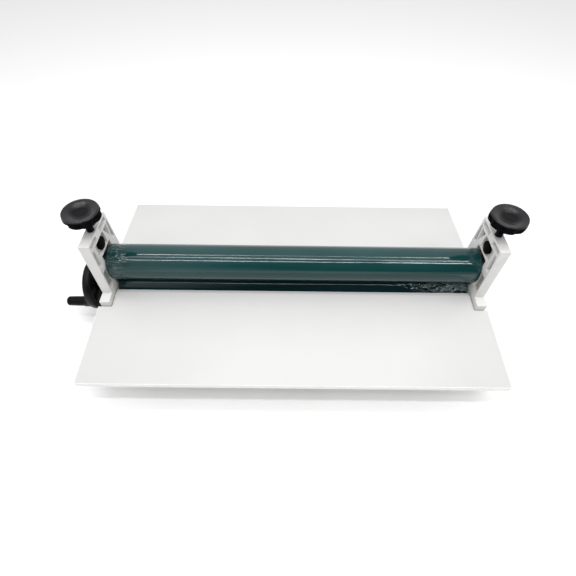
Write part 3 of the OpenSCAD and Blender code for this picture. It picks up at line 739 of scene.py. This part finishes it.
def knob(side):
    """Hand knob with a scalloped skirt, a rounded rim and a dished top."""
    node = side + "_knob"
    low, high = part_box(node)
    rod_low, rod_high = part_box(side + "_pressure_screw")
    center = (rod_low + rod_high) / 2
    tall = high.z - low.z
    radius = max((high.y - low.y) / 2, high.x - center.x, center.x - low.x)
    rim = 2.2 * MM
    dish = tall - 5.5 * MM
    lip = tall - 0.5 * MM
    reach = 10 * MM
    bite = 4.0 * MM
    middle = radius + reach - bite
    step = 2 * math.pi / KNOB_LOBES

    def skirt(r, h, angle):
        """Shallow round bites between the lobes, which fade out below the rim."""
        local = (angle % step) - step / 2
        under = reach ** 2 - (middle * math.sin(local)) ** 2
        if under <= 0:
            return r
        grown = smooth_step(h, 1.0 * MM, 3.0 * MM)
        left = 1 - smooth_step(h, dish, tall - 4.0 * MM)
        limit = middle * math.cos(local) - math.sqrt(under)
        return r - max(0.0, r - limit) * float(grown * left)

    profile = [(CORE, 0), (9 * MM, 0), (9.6 * MM, 0.4 * MM), (10 * MM, 2.2 * MM),
               (11 * MM, 2.9 * MM), (radius - 5.2 * MM, 4.2 * MM), (radius - 3.0 * MM, 4.8 * MM),
               (radius - 1.2 * MM, 6.1 * MM), (radius - 0.35 * MM, 7.6 * MM)]
    profile += [(radius, float(h)) for h in np.linspace(9 * MM, tall - 5.6 * MM, 7)]
    profile += [(radius - 0.15 * MM, tall - 4.6 * MM), (radius - 0.6 * MM, tall - 3.0 * MM)]
    profile += arc((radius - 3.0 * MM, tall - rim), rim, 20, 125, 9)
    bowl = profile[-1][0]
    rows = 14
    for i in range(1, rows + 1):
        share = i / rows
        depth = (1 - math.cos(math.pi * min(1.0, 1.5 * share))) / 2
        profile.append((bowl * (1 - share) + CORE, dish + (lip - dish) * (1 - depth)))
    place = Matrix.Translation(Vector((center.x, center.y, low.z)))
    mesh = revolved(node + "_moulded", profile, place, 168, skirt)
    finish_mesh(mesh, 50)
    return add_object(node + "_moulded", mesh, "knob", node)


def pressure_screw(side):
    """Threaded screw, plain where the retainer plate holds its neck."""
    node = side + "_pressure_screw"
    low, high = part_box(node)
    retainer_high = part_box(side + "_screw_retainer")[1].z
    place = Matrix.Translation(Vector(((low.x + high.x) / 2, (low.y + high.y) / 2, 0)))
    radius = (high.x - low.x) / 2
    tip = [(CORE, low.z), (radius - 0.5 * MM, low.z), (radius, low.z + 0.5 * MM),
           (radius, low.z + 3.4 * MM), (NECK_R, low.z + 3.7 * MM),
           (NECK_R, retainer_high + 0.35 * MM), (CORE, retainer_high + 0.36 * MM)]
    rod = threaded(node, place, retainer_high + 0.3 * MM, high.z, radius, SCREW_PITCH, 0.92 * MM)
    mesh = joined(node + "_threaded", [revolved(node, tip, place, 36), rod])
    return add_object(node + "_threaded", mesh, "black_steel", node)


def lock_nut(side):
    """Hexagon nut under a knob."""
    node = side + "_lock_nut"
    low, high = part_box(node)
    place = Matrix.Translation(Vector(((low.x + high.x) / 2, (low.y + high.y) / 2, low.z)))
    profile, shape = hexagon((high.x - low.x) / 2, high.z - low.z)
    mesh = revolved(node + "_chamfered", profile, place, 72, shape)
    finish_mesh(mesh, 25)
    return add_object(node + "_chamfered", mesh, "black_steel", node)


# ---------------------------------------------------------------- crank grip

def crank_grip():
    """Turning grip, bored for its spindle and for the spindle's head."""
    node = "crank_grip"
    low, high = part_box(node)
    length = high.x - low.x
    radius = (high.z - low.z) / 2
    place = facing((high.x, (low.y + high.y) / 2, (low.z + high.z) / 2), (-1, 0, 0))
    taper = 0.5 * MM
    inner_round, outer_round = 1.1 * MM, 4 * MM
    bore, head = 3.55 * MM, 5.8 * MM
    head_low, head_high = length - 5.5 * MM, length - 2.7 * MM
    profile = [(CORE, head_high), (head, head_high), (head, head_low), (bore, head_low),
               (bore, 0), (radius - inner_round, 0)]
    profile += arc((radius - inner_round, inner_round), inner_round, -80, 0, 5)
    rows = 8
    for i in range(rows + 1):
        share = i / rows
        swell = 0.12 * MM * math.sin(share * math.pi)
        profile.append((radius - taper * share - 0.1 * MM + swell,
                        2 * MM + (length - 7.5 * MM) * share))
    profile += arc((radius - taper - outer_round, length - outer_round),
                   outer_round - 0.1 * MM, 4, 88, 9)
    profile.append((CORE, length - 0.1 * MM))
    mesh = revolved(node, profile, place, 72)
    finish_mesh(mesh, 50)
    return add_object(node + "_moulded", mesh, "grip", node)


# ---------------------------------------------------------------- springs

def lift_springs(side):
    """Two compression springs with closed, ground ends."""
    node = side + "_lift_springs"
    low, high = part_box(node)
    wire = 0.8 * MM
    coil = (high.x - low.x) / 2 - wire
    middle_x = (low.x + high.x) / 2
    tall = high.z - low.z
    turns, per_turn, sides = 6, 28, 10
    total = turns * per_turn
    meshes = []
    for y in (low.y + coil + wire, high.y - coil - wire):
        rings = []
        for i in range(total + 1):
            share = i / total
            eased = share - math.sin(2 * math.pi * share) / (2 * math.pi) * 0.75
            angle = 2 * math.pi * turns * share
            center = Vector((middle_x + coil * math.cos(angle), y + coil * math.sin(angle),
                             low.z + wire + (tall - 2 * wire) * eased))
            outward = Vector((math.cos(angle), math.sin(angle), 0))
            ring = []
            for j in range(sides):
                a = 2 * math.pi * j / sides
                ring.append(center + outward * (wire * math.cos(a))
                            + Vector((0, 0, wire * math.sin(a))))
            rings.append(ring)
        meshes.append(ring_mesh(node, rings))
    mesh = joined(node + "_wound", meshes)
    obj = link_object(node + "_wound", mesh, "spring", node)
    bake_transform(obj)
    return obj


# ---------------------------------------------------------------- small fasteners

def solids_of(node):
    """Boxes (low, high) of the separate solids in a CAD node."""
    bm = bmesh.new()
    bm.from_mesh(frame["nodes"][node].data)
    bmesh.ops.remove_doubles(bm, verts=bm.verts, dist=1e-6)
    left = set(bm.verts)
    boxes = []
    while left:
        stack = [left.pop()]
        found = []
        while stack:
            vert = stack.pop()
            found.append(vert.co.copy())
            for edge in vert.link_edges:
                other = edge.other_vert(vert)
                if other in left:
                    left.remove(other)
                    stack.append(other)
        boxes.append((Vector([min(p[i] for p in found) for i in range(3)]),
                      Vector([max(p[i] for p in found) for i in range(3)])))
    bm.free()
    return sorted(boxes, key=lambda b: tuple(round(v, 4) for v in b[0]))


def pan_head_screws(node, place_of, head_r, head_h, shank_r, length, seat, point=0.0):
    """All the screws of a node, each a pan head on its place with a shank behind it.

    place_of gives the place from a screw's box; seat is how far the shank enters the head,
    and point is the height of its cone.
    """
    shank = [(CORE, -length), (shank_r - point / 6, point - length), (shank_r, seat),
             (CORE, seat)]
    meshes = []
    for low, high in solids_of(node):
        place = place_of(low, high)
        meshes.append(pan_head(node, place, head_r, head_h))
        meshes.append(revolved(node, shank, place, 20))
    mesh = joined(node + "_pan_heads", meshes)
    return add_object(node + "_pan_heads", mesh, "zinc", node)


def cover_plate_screws():
    """Screws that stand outwards on both cover plates."""
    node = "cover_plate_screws"
    head_h = 1.8 * MM

    def place_of(low, high):
        outward = 1 if (low.x + high.x) / 2 > MID_X else -1
        tip = high.x if outward > 0 else low.x
        return facing((tip - outward * head_h, (low.y + high.y) / 2, (low.z + high.z) / 2),
                      (outward, 0, 0))

    low, high = solids_of(node)[0]
    pan_head_screws(node, place_of, head_r=(high.y - low.y) / 2, head_h=head_h,
                    shank_r=1.4 * MM, length=7 * MM, seat=0.2 * MM)


def board_screws():
    """Wood screws that hold the boards from below, square to their slope."""
    whole = 14.0 * MM
    head_room = 2.5 * MM

    def place_of(low, high):
        lean = BOARD_SLOPE if (low.y + high.y) / 2 < 0 else -BOARD_SLOPE
        down = Vector((0, math.sin(lean), -math.cos(lean)))
        return facing((low + high) / 2 + down * (whole / 2 - head_room), down)

    pan_head_screws("board_screws", place_of, head_r=3.9 * MM, head_h=2.4 * MM,
                    shank_r=1.7 * MM, length=11 * MM, seat=0.2 * MM, point=0.6 * MM)


def retainer_screws():
    """Screws sunk in the retainer plates."""
    head_h = 1.4 * MM

    def place_of(low, high):
        return Matrix.Translation(Vector(((low.x + high.x) / 2, (low.y + high.y) / 2,
                                          high.z - head_h)))

    pan_head_screws("retainer_screws", place_of, head_r=2.7 * MM, head_h=head_h,
                    shank_r=1.2 * MM, length=4 * MM, seat=0.1 * MM)


def foot_screws():
    """Screws that hold the feet from below."""
    head_h = 1.5 * MM

    def place_of(low, high):
        return facing(((low.x + high.x) / 2, (low.y + high.y) / 2, low.z + head_h), (0, 0, -1))

    pan_head_screws("foot_screws", place_of, head_r=3.8 * MM, head_h=head_h,
                    shank_r=1.85 * MM, length=11 * MM, seat=0.1 * MM)


def rubber_feet():
    """Moulded feet with a well for the screw's head."""
    node = "rubber_feet"
    steps = 56
    bore, well = 2.1 * MM, 4.5 * MM
    meshes = []
    for low, high in solids_of(node):
        radius = (high.x - low.x) / 2
        place = Matrix.Translation(Vector(((low.x + high.x) / 2, (low.y + high.y) / 2, low.z)))
        profile = [(bore, high.z), (bore, 2.6 * MM), (well, 2.5 * MM), (well, 0.5 * MM),
                   (5.0 * MM, 0), (radius - 2.0 * MM, 0)]
        profile += arc((radius - 2.0 * MM, 1.1 * MM), 1.1 * MM, -85, -5, 6)
        profile += [(radius - 0.3 * MM, high.z - 0.9 * MM), (radius - 0.1 * MM, high.z - 0.5 * MM),
                    (radius - 0.35 * MM, high.z - 0.1 * MM), (radius - 0.7 * MM, high.z)]
        meshes.append(tube_mesh(node, [circle(place, r, h, steps) for r, h in profile]))
    mesh = joined(node + "_moulded", meshes)
    return add_object(node + "_moulded", mesh, "foot", node)


# ---------------------------------------------------------------- build

MATERIALS["paint"] = paint_material()
MATERIALS["laminate"] = laminate_material()
MATERIALS["band"] = band_painted_light_material()
MATERIALS["upper_rubber"] = rubber_material(
    "upper_roller_wrapped_rubber", (0.002, 0.032, 0.032), (0.009, 0.052, 0.054),
    MID_X - FACE_HALF + 42 * MM, MID_X - FACE_HALF + 18 * MM, 0.25)
# painted shade: the lower roller's rubber is painted darker than the upper's, as the shade under the
# upper roller, and its fold crests get stronger painted glints
MATERIALS["lower_rubber_painted_shade"] = rubber_material(
    "lower_roller_rubber_painted_shade", (0.002, 0.016, 0.019), (0.005, 0.026, 0.030),
    MID_X + FACE_HALF - 150 * MM, MID_X + FACE_HALF - 60 * MM, 0.85)
MATERIALS["knob"] = knob_material()
MATERIALS["crank"] = plastic_material("crank_black_plastic", (0.0025, 0.0025, 0.003), 0.30, 0.45,
                                      0.2, 0.17)
MATERIALS["grip"] = plastic_material("grip_black_plastic", (0.0025, 0.0025, 0.003), 0.32, 0.46,
                                     0.2, 0.1)
MATERIALS["foot"] = plastic_material("foot_black_rubber", (0.014, 0.014, 0.014), 0.65, 0.85,
                                     0.4)
MATERIALS["support"] = powder_material()
MATERIALS["zinc"] = metal_material("zinc_plated_steel", (0.62, 0.63, 0.62), 0.28)
MATERIALS["black_steel"] = metal_material("black_oxide_steel", (0.02, 0.02, 0.022), 0.38)
# painted shade: the barrel nuts are black steel painted a deader black, as the shade inside their
# pockets
MATERIALS["nut"] = plastic_material("black_steel_painted_shade", (0.001, 0.001, 0.001), 0.6, 0.8, 0.2,
                                    0.05)
MATERIALS["spring"] = metal_material("spring_wire", (0.45, 0.45, 0.46), 0.3)
MATERIALS["turned"] = metal_material("turned_steel", (0.55, 0.55, 0.56), 0.25, (1, 0.02, 0.02))
MATERIALS["block"] = metal_material("milled_aluminium", (0.66, 0.66, 0.67), 0.35, (1, 1, 0.03))
MATERIALS["lower_bearing"] = bearing_material("lower_bearing_steel", LOWER_AXIS, 9.6 * MM,
                                              14.2 * MM)
MATERIALS["upper_bearing"] = bearing_material("upper_bearing_steel", UPPER_AXIS, 8.0 * MM,
                                              11.3 * MM)

for end in ("left", "right"):
    refine(end + "_side_frame", "paint", 1.0 * MM, 3)
    refine(end + "_cover_plate", "paint", 0.4 * MM)
    refine(end + "_barrel_nut", "nut", 0.4 * MM)
    refine(end + "_bearing_block", "block", 0.5 * MM)
    refine(end + "_screw_retainer", "zinc", 0.25 * MM)
    refine(end + "_lower_bearing", "lower_bearing", 0.3 * MM)
    refine(end + "_upper_bearing", "upper_bearing", 0.25 * MM)
    refine("lower_" + end + "_stub_shaft", "turned", 0.3 * MM)
    refine("upper_" + end + "_stub_shaft", "turned", 0.3 * MM)
    knob(end)
    pressure_screw(end)
    lock_nut(end)
    lift_springs(end)
for end in ("front", "rear"):
    refine(end + "_board", "laminate", 0.3 * MM)
    refine(end + "_board_edge_band", "band", 0.35 * MM)
    refine(end + "_cross_bar", "support", 0.8 * MM, 3)
    refine(end + "_board_arms", "support", 0.6 * MM)
    refine(end + "_tie_rod", "zinc", 0.4 * MM)
refine("tie_rod_nuts", "zinc", 0.4 * MM)
refine("cross_bar_bolts", "zinc", 0.35 * MM)
refine("crank_wheel", "crank", 0.5 * MM, 3)
refine("crank_washer", "zinc", 0.2 * MM)
refine("crank_end_bolt", "zinc", 0.35 * MM)
refine("grip_spindle", "zinc", 0.2 * MM)
refine("lower_roller_tube", "turned", 0.3 * MM)
refine("upper_roller_tube", "turned", 0.3 * MM)
wrapped_roller("upper_roller_wrapped", "upper_roller_rubber", "upper_rubber", UPPER_AXIS,
               seed=11, crumpled_side=-1, start=0.885, full=0.96)
wrapped_roller("lower_roller_wrapped", "lower_roller_rubber", "lower_rubber_painted_shade", LOWER_AXIS,
               seed=23, crumpled_side=1, start=0.80, full=0.93)
crank_grip()
cover_plate_screws()
board_screws()
retainer_screws()
foot_screws()
rubber_feet()

bpy.context.scene.view_settings.view_transform = "Standard"
make_camera()
make_floor()
make_world()
make_strip("ceiling_tube", across=0.16, height=1.6, width=0.07, length=2.4, watts=8.2)
make_strip("middle_tube", across=-0.29, height=1.6, width=0.08, length=2.4, watts=8.0)
make_strip("front_tube", across=-0.90, height=1.6, width=0.07, length=2.4, watts=7.8)
make_strip("right_tube", across=-0.60, height=1.6, width=0.10, length=0.60, watts=2.2, shift=0.85)
